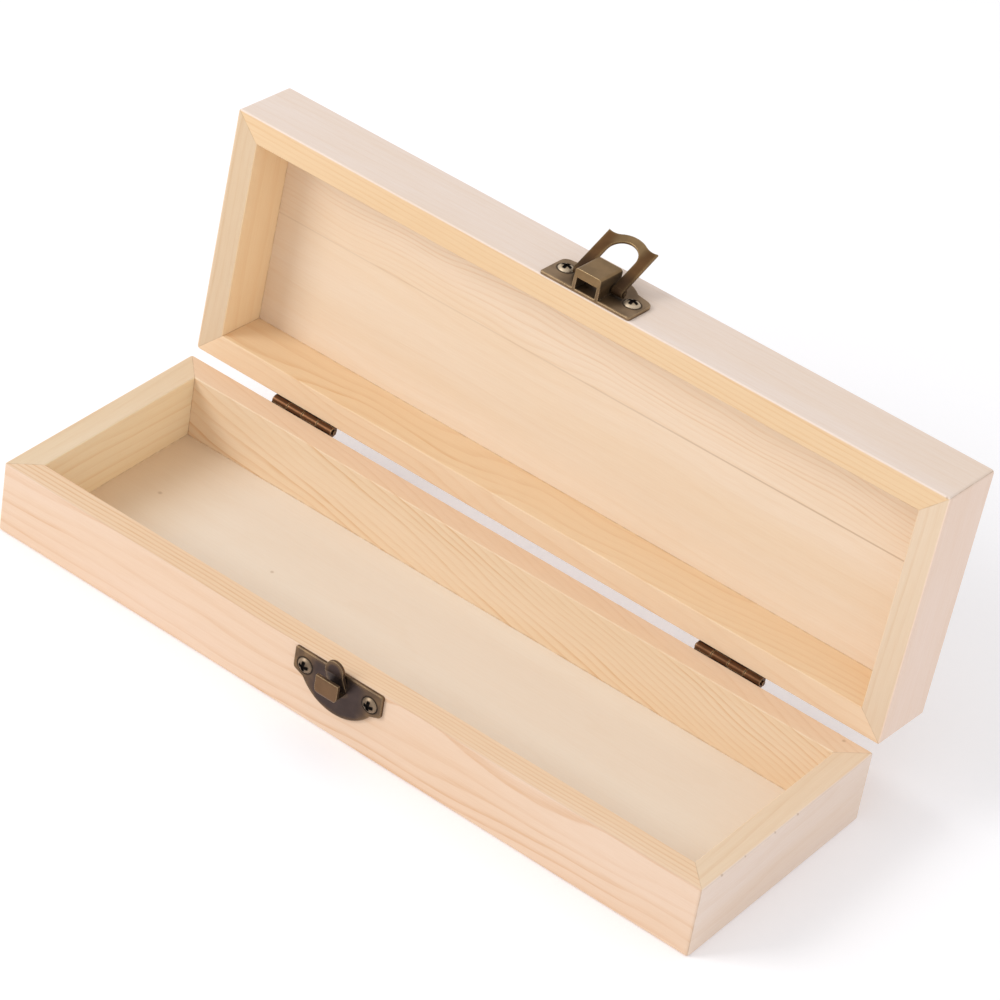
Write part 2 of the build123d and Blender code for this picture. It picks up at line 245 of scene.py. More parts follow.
def new_group(name, inputs, outputs):
    """A node group with named sockets, as (tree, its inputs)."""
    tree = bpy.data.node_groups.new(name, "ShaderNodeTree")
    for socket_name, kind, default in inputs:
        socket = tree.interface.new_socket(name=socket_name, in_out="INPUT", socket_type=kind)
        if default is not None:
            socket.default_value = default
    for socket_name, kind in outputs:
        tree.interface.new_socket(name=socket_name, in_out="OUTPUT", socket_type=kind)
    return tree, tree.nodes.new("NodeGroupInput").outputs


def use_group(tree, name, values):
    """The outputs of a node that places a group with its own values."""
    return add_node(tree, "ShaderNodeGroup", values, node_tree=bpy.data.node_groups[name]).outputs


def new_material(name):
    """A new material with a Principled surface, as (material, tree, shader)."""
    material = bpy.data.materials.new(name)
    material.use_nodes = True
    return material, material.node_tree, material.node_tree.nodes["Principled BSDF"]


def opaque(colour):
    """A colour with its alpha."""
    return (*colour, 1.0)


# ---- shared effects


def build_growth_rings():
    """Pine's growth rings, fibres and bump, from a place in millimetres with X along the grain."""
    tree, given = new_group(
        "growth rings",
        [
            ("Place", VECTOR, None),
            ("Pith Y", FLOAT, 30.0),
            ("Pith Z", FLOAT, 0.0),
            ("Lean Y", FLOAT, 0.0),
            ("Lean Z", FLOAT, 0.0),
            ("Ring Width", FLOAT, 2.0),
            ("Waviness", FLOAT, 2.0),
            ("Seed", FLOAT, 0.0),
        ],
        [("Late Wood", FLOAT), ("Band", FLOAT), ("Fibre", FLOAT), ("Pores", FLOAT), ("Height", FLOAT)],
    )
    # The seed moves the noise by so many millimetres along all three axes, so that no two boards are alike.
    shift = add_node(tree, "ShaderNodeCombineXYZ", {axis: given["Seed"] for axis in "XYZ"}).outputs[0]
    place = vector_maths(tree, "ADD", given["Place"], shift)
    axes = axes_of(tree, given["Place"])
    sway = noise(tree, stretched(tree, place, 0.4), 0.05, 1.5, 0.4, "Color")
    sway = vector_maths(tree, "SUBTRACT", sway, (0.5, 0.5, 0.5))
    reach = maths(tree, "MULTIPLY", given["Waviness"], 3.0)
    sway = add_node(tree, "ShaderNodeVectorMath", {0: sway, "Scale": reach}, operation="SCALE").outputs[0]
    sway = axes_of(tree, sway)
    across = []
    for axis in "YZ":
        lean = maths(tree, "MULTIPLY", axes["X"], given[f"Lean {axis}"])
        centre = maths(tree, "ADD", given[f"Pith {axis}"], lean)
        across.append(maths(tree, "ADD", maths(tree, "SUBTRACT", axes[axis], centre), sway[axis]))
    turn = maths(tree, "DIVIDE", distance(tree, *across), given["Ring Width"])
    uneven = noise(tree, stretched(tree, place, 0.05), 0.35, 1.0)
    turn = maths(tree, "ADD", turn, maths(tree, "MULTIPLY", uneven, 0.45))
    year = maths(tree, "FLOOR", turn)
    season = maths(tree, "FRACT", turn)
    # The line darkens slowly through the summer and ends sharply, and some years' lines are fainter.
    rise = maths(tree, "POWER", ramp(tree, season, 0.30, 0.93), 2.2)
    fall = ramp(tree, season, 0.93, 1.0, 1.0, 0.0)
    seed = maths(tree, "ADD", year, given["Seed"])
    chance = add_node(tree, "ShaderNodeTexWhiteNoise", {"W": seed}, noise_dimensions="1D")
    strength = ramp(tree, chance.outputs["Value"], 0.0, 1.0, 0.35, 1.0)
    late = maths(tree, "MULTIPLY", maths(tree, "MULTIPLY", rise, fall), strength)
    fibre = noise(tree, stretched(tree, place, 0.045), 3.2, 4.0, 0.62)
    fine = noise(tree, stretched(tree, place, 0.035), 11.0, 2.0, 0.6)
    band = noise(tree, stretched(tree, place, 0.12), 0.07)
    pores = ramp(tree, noise(tree, stretched(tree, place, 0.10), 4.2, 1.0), 0.70, 0.80)
    late = maths(tree, "MULTIPLY", late, ramp(tree, fibre, 0.2, 0.7, 0.65, 1.0))
    fading = noise(tree, stretched(tree, place, 0.05, 0.5), 0.25, 1.0)
    late = maths(tree, "MULTIPLY", late, ramp(tree, fading, 0.34, 0.56, 0.45, 1.0))
    height = maths(tree, "ADD", maths(tree, "MULTIPLY", late, 0.5), maths(tree, "MULTIPLY", fine, 0.5))
    height = maths(tree, "SUBTRACT", height, maths(tree, "MULTIPLY", pores, 0.4))
    results = {"Late Wood": late, "Band": band, "Fibre": fibre, "Pores": pores, "Height": height}
    add_node(tree, "NodeGroupOutput", results)


def build_box_joints():
    """Where walls meet each other or the panel, and which faces are outside, from a place on the shut box."""
    tree, given = new_group(
        "box joints",
        [
            ("Place", VECTOR, None),
            ("Half Length", FLOAT, 100.0),
            ("Half Width", FLOAT, 33.0),
            ("Wall", FLOAT, 6.6),
            ("Panel Z", FLOAT, BASE_PANEL_Z),
        ],
        [("Mitre", FLOAT), ("Panel Edge", FLOAT), ("Outside", FLOAT), ("Inside", FLOAT)],
    )
    axes = axes_of(tree, given["Place"])
    inset_x = maths(tree, "SUBTRACT", given["Half Length"], maths(tree, "ABSOLUTE", axes["X"]))
    inset_y = maths(tree, "SUBTRACT", given["Half Width"], maths(tree, "ABSOLUTE", axes["Y"]))
    inset = maths(tree, "MINIMUM", inset_x, inset_y)
    apart = maths(tree, "ABSOLUTE", maths(tree, "SUBTRACT", inset_x, inset_y))
    uneven = ramp(tree, noise(tree, given["Place"], 0.5, 2.0), 0.35, 0.65, 0.35, 1.0)
    mitre = maths(tree, "MULTIPLY", ramp(tree, apart, 0.05, 0.22, 1.0, 0.0), uneven)
    above = maths(tree, "ABSOLUTE", maths(tree, "SUBTRACT", axes["Z"], given["Panel Z"]))
    within = maths(tree, "GREATER_THAN", inset, maths(tree, "SUBTRACT", given["Wall"], 0.1))
    panel_edge = maths(tree, "MULTIPLY", ramp(tree, above, 0.1, 0.55, 1.0, 0.0), within)
    panel_edge = maths(tree, "MULTIPLY", panel_edge, uneven)
    outside = ramp(tree, inset, 0.15, 0.6, 1.0, 0.0)
    inside = ramp(tree, maths(tree, "SUBTRACT", given["Wall"], inset), 0.05, 0.3, 1.0, 0.0)
    results = {"Mitre": mitre, "Panel Edge": panel_edge, "Outside": outside, "Inside": inside}
    add_node(tree, "NodeGroupOutput", results)


def build_speck():
    """A small dark fault in the wood, or the painted shade round a screw: a soft spot of a given radius."""
    tree, given = new_group(
        "speck",
        [
            ("Place", VECTOR, None),
            ("Middle", VECTOR, None),
            ("Radius", FLOAT, 0.5),
            ("Softness", FLOAT, 0.3),
        ],
        [("Mask", FLOAT)],
    )
    apart = vector_maths(tree, "DISTANCE", given["Place"], given["Middle"], output="Value")
    outer = maths(tree, "ADD", given["Radius"], given["Softness"])
    add_node(tree, "NodeGroupOutput", {"Mask": ramp(tree, apart, given["Radius"], outer, 1.0, 0.0)})


def build_worn_edges():
    """Where outer edges are rubbed, the normal that rounds them, and how deep in a corner a point lies."""
    tree, given = new_group(
        "worn edges",
        [("Radius", FLOAT, 0.0003), ("Reach", FLOAT, 0.25)],
        [("Wear", FLOAT), ("Normal", VECTOR), ("Corner", FLOAT)],
    )
    rounded = add_node(tree, "ShaderNodeBevel", {"Radius": given["Radius"]}, samples=6).outputs["Normal"]
    flat = tree.nodes.new("ShaderNodeNewGeometry").outputs["Normal"]
    turned = maths(tree, "SUBTRACT", 1.0, vector_maths(tree, "DOT_PRODUCT", rounded, flat, output="Value"))
    limits = {"Value": turned, "From Min": 0.005, "From Max": given["Reach"]}
    wear = add_node(tree, "ShaderNodeMapRange", limits).outputs["Result"]
    closed = add_node(tree, "ShaderNodeAmbientOcclusion", {"Distance": 0.8 * MM}, samples=6).outputs["AO"]
    corner = ramp(tree, closed, 0.45, 0.9, 1.0, 0.0)
    wear = maths(tree, "MULTIPLY", wear, maths(tree, "SUBTRACT", 1.0, corner))
    add_node(tree, "NodeGroupOutput", {"Wear": wear, "Normal": rounded, "Corner": corner})


def build_screw_recess():
    """The painted shade in the cross recess of a pair of screw heads, drawn wider than the recess, and the
    dish round it, from a place on the shut box.
    """
    tree, given = new_group(
        "screw recess",
        [
            ("Place", VECTOR, None),
            ("Middle X", FLOAT, 0.0),
            ("Spread", FLOAT, CLASP_SCREWS),
            ("Middle Z", FLOAT, 0.0),
            ("Radius", FLOAT, CLASP_HEAD["Radius"]),
            ("Rise", FLOAT, CLASP_HEAD["Rise"]),
        ],
        [("Recess", FLOAT), ("Dish", FLOAT)],
    )
    axes = axes_of(tree, given["Place"])
    aside = maths(tree, "ABSOLUTE", maths(tree, "SUBTRACT", axes["X"], given["Middle X"]))
    aside = maths(tree, "SUBTRACT", aside, given["Spread"])
    above = maths(tree, "SUBTRACT", axes["Z"], given["Middle Z"])
    height = maths(tree, "SUBTRACT", maths(tree, "ABSOLUTE", axes["Y"]), -PLATE_FRONT)
    level = maths(tree, "DIVIDE", height, given["Rise"])
    share = maths(tree, "DIVIDE", distance(tree, aside, above), given["Radius"])
    # Painted shade: the bottom of the recess, and arms that draw the dark cross wider than the recess.
    deep = ramp(tree, level, 0.42, 0.66, 1.0, 0.0)
    deep = maths(tree, "MULTIPLY", deep, ramp(tree, share, 0.64, 0.68, 1.0, 0.0))
    arms = maths(tree, "MINIMUM", maths(tree, "ABSOLUTE", aside), maths(tree, "ABSOLUTE", above))
    arms = ramp(tree, maths(tree, "DIVIDE", arms, given["Radius"]), 0.20, 0.27, 1.0, 0.0)
    painted_shade_arms = maths(tree, "MULTIPLY", arms, ramp(tree, share, 0.62, 0.74, 1.0, 0.0))
    recess = maths(tree, "MAXIMUM", deep, painted_shade_arms)
    dish = ramp(tree, share, 0.50, 0.80, 1.0, 0.0)
    add_node(tree, "NodeGroupOutput", {"Recess": recess, "Dish": dish})


def build_patina():
    """Antique bronze: dark in the middle, brown towards the borders, rubbed back to brass with a painted
    highlight on the edges, and darkened by painted shade.
    """
    tree, given = new_group(
        "patina",
        [
            ("Place", VECTOR, None),
            ("Middle", COLOUR, None),
            ("Border", COLOUR, None),
            ("Edge", COLOUR, None),
            ("Raised", COLOUR, None),
            ("Border Mask", FLOAT, 0.0),
            ("Edge Mask", FLOAT, 0.0),
            ("Raised Mask", FLOAT, 0.0),
            ("Painted Shade", FLOAT, 0.0),
            ("Polish", FLOAT, 0.0),
        ],
        [("Color", COLOUR), ("Roughness", FLOAT), ("Height", FLOAT)],
    )
    cloud = noise(tree, given["Place"], 0.3)
    grit = noise(tree, given["Place"], 7.0)
    border = maths(tree, "MULTIPLY", given["Border Mask"], ramp(tree, cloud, 0.3, 0.6, 0.55, 1.0))
    colour = mixed(tree, border, given["Middle"], given["Border"])
    colour = mixed(tree, given["Raised Mask"], colour, given["Raised"])
    cloudy = ramp(tree, cloud, 0.3, 0.7, 0.88, 1.1)
    shade = maths(tree, "MULTIPLY", cloudy, ramp(tree, grit, 0.3, 0.7, 0.95, 1.05))
    colour = mixed(tree, 1.0, colour, shade, "MULTIPLY")
    # The edges' brass is rubbed wear and also a painted highlight.
    edge = maths(tree, "MULTIPLY", given["Edge Mask"], ramp(tree, grit, 0.3, 0.6, 0.55, 1.0))
    colour = mixed(tree, edge, colour, given["Edge"])
    # Painted shade darkens the colour where its mask says.
    colour = mixed(tree, given["Painted Shade"], colour, opaque(PAINTED_SHADE_COLOUR))
    rough = ramp(tree, grit, 0.2, 0.8, 0.42, 0.50)
    rough = maths(tree, "SUBTRACT", rough, maths(tree, "MULTIPLY", edge, 0.10))
    rough = maths(tree, "ADD", rough, maths(tree, "MULTIPLY", given["Painted Shade"], 0.3))
    rough = maths(tree, "SUBTRACT", rough, given["Polish"])
    add_node(tree, "NodeGroupOutput", {"Color": colour, "Roughness": rough, "Height": grit})


# ---- places on the shut box


def shut_place(tree, lid_part):
    """Object coordinates in millimetres, turned back to where the piece is when the lid is shut."""
    here = tree.nodes.new("ShaderNodeTexCoord").outputs["Object"]
    turn, shift = 0.0, Vector((0, 0, 0))
    if lid_part:
        hinge = JOINTS["lid_hinge"]
        turn = math.radians(hinge["range_deg"][1])
        centre = Vector(hinge["pos_m"]) / MM
        shift = centre - Matrix.Rotation(turn, 3, "X") @ centre
    values = {"Vector": here, "Location": shift, "Rotation": (turn, 0, 0), "Scale": (1 / MM,) * 3}
    return add_node(tree, "ShaderNodeMapping", values).outputs[0]


def along_grain(tree, place, turned):
    """The place with X along the board's grain."""
    angle = math.radians(90) if turned else 0.0
    return add_node(tree, "ShaderNodeMapping", {"Vector": place, "Rotation": (0, 0, angle)}).outputs[0]


# ---- materials


def use_grain(tree, place, board):
    """The growth rings of one board."""
    values = {"Place": place, "Ring Width": board["rings"], "Waviness": board["wave"], "Seed": board["seed"]}
    for number, axis in enumerate("YZ"):
        values[f"Pith {axis}"] = board["pith"][number]
        values[f"Lean {axis}"] = board["lean"][number]
    return use_group(tree, "growth rings", values)


def speckled(tree, place, colour, specks, wood):
    """The colour with small dark faults at given places."""
    for *middle, radius in specks:
        spot = {"Place": place, "Middle": middle, "Radius": 0.3 * radius, "Softness": radius}
        mask = use_group(tree, "speck", spot)["Mask"]
        colour = mixed(tree, maths(tree, "MULTIPLY", mask, wood.faults), colour, opaque(wood.seam))
    return colour


def darkened(tree, colour, late_share, streak_share, grain, wood):
    """The colour darkened by the rings' late wood and by streaks along the fibres."""
    colour = mixed(tree, late_share, colour, opaque(wood.late), "MULTIPLY")
    streak = ramp(tree, grain["Fibre"], 0.25, 0.75, 0.0, streak_share)
    return mixed(tree, streak, colour, opaque(wood.late), "MULTIPLY")


def finish_wood(tree, shader, colour, grain, late, groove):
    """Link a board's colour, sheen and bump."""
    tree.links.new(colour, shader.inputs["Base Color"])
    rough = ramp(tree, grain["Fibre"], 0.2, 0.8, 0.58, 0.70)
    rough = maths(tree, "SUBTRACT", rough, maths(tree, "MULTIPLY", late, 0.10))
    tree.links.new(rough, shader.inputs["Roughness"])
    shader.inputs["Specular IOR Level"].default_value = WOOD_SPECULAR
    height = maths(tree, "SUBTRACT", grain["Height"], maths(tree, "MULTIPLY", groove, 1.5))
    bump = add_node(tree, "ShaderNodeBump", {"Strength": 0.3, "Distance": 0.05 * MM, "Height": height})
    tree.links.new(bump.outputs[0], shader.inputs["Normal"])


def glued_panel(tree, along, axes, late):
    """The late wood of the lid's two glued boards, and the line between them."""
    from_glue = maths(tree, "SUBTRACT", axes["Y"], GLUE_LINE)
    second = maths(tree, "GREATER_THAN", from_glue, 0.0)
    plain = maths(tree, "MULTIPLY", use_grain(tree, along, SECOND_BOARD)["Late Wood"], SECOND_SHOW)
    first_late = maths(tree, "MULTIPLY", late, maths(tree, "SUBTRACT", 1.0, second))
    late = maths(tree, "ADD", first_late, maths(tree, "MULTIPLY", plain, second))
    line = ramp(tree, maths(tree, "ABSOLUTE", from_glue), *GLUE_SIDES, 1.0, 0.0)
    line = maths(tree, "MULTIPLY", line, ramp(tree, axes["X"], *GLUE_ALONG, 0.35, 1.0))
    return late, maths(tree, "MULTIPLY", line, GLUE_SHOW)


def pine_material(name, board, wood):
    """A pine board's grain and its colours face by face, which hold painted light, with the lines where it
    meets its neighbours.
    """
    material, tree, shader = new_material(name.replace("_", " ") + " pine")
    lid_part = name.startswith("lid")
    panel = name == "lid_top_panel"
    place = shut_place(tree, lid_part)
    along = along_grain(tree, place, name.endswith(("left_wall", "right_wall")))
    grain = use_grain(tree, along, board)
    panel_z = LID_PANEL_Z if lid_part else BASE_PANEL_Z
    joints = use_group(tree, "box joints", {"Place": place, "Panel Z": panel_z})
    axes = axes_of(tree, place)
    outside = ramp(tree, axes["Z"], *LID_PANEL_SKIN) if panel else joints["Outside"]
    rim_show, skin_show, inner_show = board["shows"]
    show = maths(tree, "ADD", rim_show, maths(tree, "MULTIPLY", joints["Inside"], inner_show - rim_show))
    show = maths(tree, "ADD", show, maths(tree, "MULTIPLY", outside, skin_show - rim_show))
    late = maths(tree, "MULTIPLY", grain["Late Wood"], show)
    if panel:
        late, groove = glued_panel(tree, along, axes, late)
    else:
        groove = maths(tree, "MAXIMUM", joints["Mitre"], joints["Panel Edge"])
        groove = maths(tree, "MULTIPLY", groove, wood.seams)
    # The inner faces take their own colour, painted lighter on the left walls for light bounced inside the
    # box.
    colour = mixed(tree, joints["Inside"], opaque(board["rim"]), opaque(board["inner"]))
    colour = mixed(tree, outside, colour, opaque(board["skin"]))
    colour = mixed(tree, ramp(tree, grain["Band"], 0.32, 0.68), colour, opaque(wood.band), "MULTIPLY")
    colour = darkened(tree, colour, maths(tree, "MULTIPLY", late, wood.rings), wood.streaks, grain, wood)
    pores = maths(tree, "MULTIPLY", grain["Pores"], PORES_SHOW)
    colour = mixed(tree, pores, colour, opaque(wood.late), "MULTIPLY")
    colour = speckled(tree, place, colour, board["specks"], wood)
    colour = mixed(tree, groove, colour, opaque(wood.seam))
    finish_wood(tree, shader, colour, grain, late, groove)
    return material


def plywood_material(wood):
    """The base's thin floor, plainer than the pine, with a warm painted shadow of the left wall at its left
    end.
    """
    material, tree, shader = new_material("plywood floor")
    place = shut_place(tree, False)
    grain = use_grain(tree, place, PLYWOOD)
    late = maths(tree, "MULTIPLY", grain["Late Wood"], PLYWOOD_SHOW)
    colour = mixed(tree, ramp(tree, grain["Band"], 0.3, 0.7), opaque(wood.ply_pale), opaque(wood.ply_warm))
    colour = darkened(tree, colour, late, 0.6 * wood.streaks, grain, wood)
    # Painted shadow: the floor's left end is darkened and warmed where the left wall shades it.
    left_shadow = ramp(tree, axes_of(tree, place)["X"], *PLYWOOD_LEFT_SHADOW, 1.0, 0.0)
    colour = mixed(tree, left_shadow, colour, opaque(wood.ply_left_shadow), "MULTIPLY")
    colour = speckled(tree, place, colour, PLYWOOD_SPECKS, wood)
    finish_wood(tree, shader, colour, grain, late, 0.0)
    return material


def bronze_material(name, tone, lid_part=False, screw_shade_rings=(), recess=None, pivot=None, polish=0.0):
    """A fitting's bronze, with painted shade in corners, round and in the screws, on the strap's sides and at
    the hasp's root.
    """
    material, tree, shader = new_material(name.replace("_", " ") + " bronze")
    place = shut_place(tree, lid_part)
    border = use_group(tree, "worn edges", {"Radius": tone["reach"] * MM, "Reach": 0.08})["Wear"]
    # The rubbed edges are wear and also a painted highlight; the corner mask feeds painted shade.
    wear_and_painted_light = use_group(tree, "worn edges", {"Radius": 0.2 * MM, "Reach": 0.10})
    axes = axes_of(tree, place)
    aside = maths(tree, "ABSOLUTE", maths(tree, "SUBTRACT", axes["X"], CLASP_MIDDLE))
    # Painted shade in corners, where the occlusion finds them.
    painted_shade = maths(tree, "MULTIPLY", wear_and_painted_light["Corner"], PAINTED_SHADE_SHARES["corner"])
    raised = 0.0
    if "depths" in tone:
        raised = ramp(tree, maths(tree, "MULTIPLY", axes["Y"], -1.0), *tone["depths"])
        border = maths(tree, "MAXIMUM", border, ramp(tree, aside, *CLASP_EARS))
        # Painted shade on the strap's sides, which face away from the key light.
        sides = maths(tree, "MULTIPLY", ramp(tree, aside, *STRAP_SIDES), raised)
        painted_shade = maths(tree, "MAXIMUM", painted_shade, maths(tree, "MULTIPLY", sides, PAINTED_SHADE_SHARES["strap"]))
    # Painted shade in a ring round each screw head.
    for x, z in screw_shade_rings:
        ring = use_group(tree, "speck", {"Place": place, "Middle": (x, PLATE_FRONT, z), **SCREW_SHADE})
        painted_shade = maths(tree, "MAXIMUM", painted_shade, maths(tree, "MULTIPLY", ring["Mask"], PAINTED_SHADE_SHARES["screw"]))
    if recess:
        # Painted shade in the cross recess of each screw head.
        head = use_group(tree, "screw recess", {"Place": place, **recess})
        painted_shade = maths(tree, "MAXIMUM", painted_shade, head["Recess"])
        raised = maths(tree, "MULTIPLY", head["Dish"], DISH_SHARE)
    if pivot:
        out = vector_maths(tree, "MULTIPLY", vector_maths(tree, "SUBTRACT", place, pivot), (0.0, 1.0, 1.0))
        out = vector_maths(tree, "LENGTH", out, output="Value")
        # Painted shade at the hasp's root, next to its pin.
        painted_shade = maths(tree, "MAXIMUM", painted_shade, ramp(tree, out, *HASP_ROOT, PAINTED_SHADE_SHARES["root"], 0.0))
        within = ramp(tree, aside, *HASP_BOW_SIDES, 1.0, 0.0)
        raised = maths(tree, "MULTIPLY", ramp(tree, out, *HASP_BOW), within)
    patina = use_group(
        tree,
        "patina",
        {
            "Place": place,
            "Middle": opaque(tone["middle"]),
            "Border": opaque(tone["border"]),
            "Edge": opaque(tone["edge"]),
            "Raised": opaque(tone.get("raised", tone["middle"])),
            "Border Mask": border,
            "Edge Mask": wear_and_painted_light["Wear"],
            "Raised Mask": raised,
            "Painted Shade": painted_shade,
            "Polish": polish,
        },
    )
    tree.links.new(patina["Color"], shader.inputs["Base Color"])
    tree.links.new(patina["Roughness"], shader.inputs["Roughness"])
    shader.inputs["Metallic"].default_value = METALLIC
    bump = add_node(
        tree,
        "ShaderNodeBump",
        {"Strength": 0.15, "Distance": 0.03 * MM, "Height": patina["Height"], "Normal": wear_and_painted_light["Normal"]},
    )
    tree.links.new(bump.outputs[0], shader.inputs["Normal"])
    return material


def finish_node(name, material):
    """Give a CAD node its material."""
    mesh = frame["nodes"][name].data
    mesh.materials.clear()
    mesh.materials.append(material)


# ---- properties


class PencilBoxWood(bpy.types.PropertyGroup):
    """Colours and strengths that the wooden pieces share"""

    late: FloatVectorProperty(
        name="Late wood", description="What a ring's dark line makes of the board's colour",
        subtype="COLOR", min=0, max=1, default=(0.84, 0.68, 0.50),
    )
    band: FloatVectorProperty(
        name="Bands", description="What the broad warmer bands make of the board's colour",
        subtype="COLOR", min=0, max=1, default=(0.98, 0.95, 0.90),
    )
    seam: FloatVectorProperty(
        name="Seam", description="The line where two boards meet, and small faults",
        subtype="COLOR", min=0, max=1, default=(0.36, 0.21, 0.10),
    )
    ply_pale: FloatVectorProperty(
        name="Pale plywood", description="Palest parts of the thin floor",
        subtype="COLOR", min=0, max=1, default=(0.86, 0.765, 0.65),
    )
    ply_warm: FloatVectorProperty(
        name="Warm plywood", description="Warmest parts of the thin floor",
        subtype="COLOR", min=0, max=1, default=(0.84, 0.73, 0.61),
    )
    # Painted shadow: the tint that darkens and warms the floor's left end where the left wall shades it.
    ply_left_shadow: FloatVectorProperty(
        name="Plywood's left end", description="What the floor's left end makes of its colour",
        subtype="COLOR", min=0, max=1, default=(0.90, 0.79, 0.65),
    )
    rings: FloatProperty(
        name="Rings", description="How strongly the growth rings show",
        subtype="FACTOR", min=0, max=1, default=1.0,
    )
    streaks: FloatProperty(
        name="Streaks", description="How strongly the fibres show",
        subtype="FACTOR", min=0, max=1, default=0.16,
    )
    seams: FloatProperty(
        name="Seams", description="How strongly the joints show",
        subtype="FACTOR", min=0, max=1, default=0.38,
    )
    faults: FloatProperty(
        name="Faults", description="How strongly the small dark faults show",
        subtype="FACTOR", min=0, max=1, default=0.4,
    )


class PencilBoxStage(bpy.types.PropertyGroup):
    """The camera, the floor and the lights"""

    camera_place: FloatVectorProperty(
        name="Camera place", description="Where the camera stands",
        subtype="TRANSLATION", unit="LENGTH", default=(0.422015, -0.659566, 0.621934),
    )
    camera_azimuth: FloatProperty(
        name="Azimuth", description="How far round to the right of the front the camera stands",
        subtype="ANGLE", unit="ROTATION", default=math.radians(32.125),
    )
    camera_elevation: FloatProperty(
        name="Elevation", description="How far above the horizon the camera stands",
        subtype="ANGLE", unit="ROTATION", default=math.radians(36.031),
    )
    camera_roll: FloatProperty(
        name="Roll", description="How far the camera is turned about its own line of sight",
        subtype="ANGLE", unit="ROTATION", default=math.radians(9.871),
    )
    lens: FloatProperty(
        name="Lens", description="Focal length on a 36 mm sensor, in millimetres",
        min=1, default=157.82,
    )
    floor: FloatVectorProperty(
        name="Floor", description="Colour of the plain floor",
        subtype="COLOR", min=0, max=1, default=(0.965, 0.965, 0.965),
    )
    floor_glow: FloatVectorProperty(
        name="Floor glow", description="Light that keeps the floor's shadows pale",
        subtype="COLOR", min=0, max=1, default=(0.10, 0.098, 0.122),
    )
    daylight: FloatProperty(
        name="Daylight", description="Strength of the even light from all round",
        min=0, default=0.80,
    )
    key_power: FloatProperty(
        name="Key light", description="Power of the large soft light",
        unit="POWER", min=0, default=10.1,
    )
    key_size: FloatProperty(
        name="Key size", description="Side of the large soft light",
        unit="LENGTH", min=0.01, default=0.65,
    )
    key_direction: FloatVectorProperty(
        name="Key direction", description="From the box towards the large soft light",
        subtype="DIRECTION", default=(-0.55, -0.62, 0.56),
    )
    key_distance: FloatProperty(
        name="Key distance", description="How far off the large soft light hangs",
        unit="LENGTH", min=0.1, default=1.6,
    )


# ---- operators


class PENCILBOX_OT_shared_effects(bpy.types.Operator):
    """Build the node groups that the wood and the metal share"""

    bl_idname = "pencilbox.shared_effects"
    bl_label = "Shared Effects"

    def execute(self, context):
        build_growth_rings()
        build_box_joints()
        build_speck()
        build_worn_edges()
        build_screw_recess()
        build_patina()
        return {"FINISHED"}


class PENCILBOX_OT_pine_boards(bpy.types.Operator):
    """Give every wall and the lid's panel its own pine"""

    bl_idname = "pencilbox.pine_boards"
    bl_label = "Pine Boards"

    def execute(self, context):
        for name, board in BOARDS.items():
            finish_node(name, pine_material(name, board, context.scene.pencil_box_wood))
        return {"FINISHED"}


class PENCILBOX_OT_plywood_floor(bpy.types.Operator):
    """Give the base's thin floor its plywood"""

    bl_idname = "pencilbox.plywood_floor"
    bl_label = "Plywood Floor"

    def execute(self, context):
        finish_node("base_bottom_panel", plywood_material(context.scene.pencil_box_wood))
        return {"FINISHED"}


class PENCILBOX_OT_fittings(bpy.types.Operator):
    """Give the hinges, the clasp and the screws their bronze"""

    bl_idname = "pencilbox.fittings"
    bl_label = "Fittings"

    def execute(self, context):
        screws_x = (CLASP_MIDDLE - CLASP_SCREWS, CLASP_MIDDLE + CLASP_SCREWS)
        catch_ring = [(x, CATCH_SCREW_Z) for x in screws_x]
        latch_ring = [(x, LATCH_SCREW_Z) for x in screws_x]
        finish_node("catch_plate", bronze_material("catch", BRONZES["catch"], screw_shade_rings=catch_ring))
        finish_node("latch_plate", bronze_material("latch", BRONZES["latch"], True, latch_ring))
        pivot = Vector(JOINTS["hasp_hinge"]["pos_m"]) / MM
        hasp = bronze_material("hasp", BRONZES["hasp"], pivot=pivot)
        finish_node("hasp", hasp)
        finish_node("hasp_pin", hasp)
        for plate, z, lid_part in (("catch", CATCH_SCREW_Z, False), ("latch", LATCH_SCREW_Z, True)):
            heads = {"Middle X": CLASP_MIDDLE, "Spread": CLASP_SCREWS, "Middle Z": z, **CLASP_HEAD}
            name = f"{plate}_screws"
            finish_node(name, bronze_material(name, BRONZES[f"{plate} screw"], lid_part, recess=heads))
        hinge = bronze_material("hinge", BRONZES["hinge"], polish=HINGE_POLISH)
        for side, middle in HINGE_MIDDLES.items():
            for piece in ("base_leaf", "lid_leaf", "pin"):
                finish_node(f"{side}_hinge_{piece}", hinge)
            for half, z in HINGE_SCREWS_Z.items():
                heads = {"Middle X": middle, "Spread": HINGE_SCREWS, "Middle Z": z, **HINGE_HEAD}
                name = f"{side}_hinge_{half}_screws"
                metal = bronze_material(name, BRONZES["catch screw"], half == "lid", recess=heads)
                finish_node(name, metal)
        return {"FINISHED"}


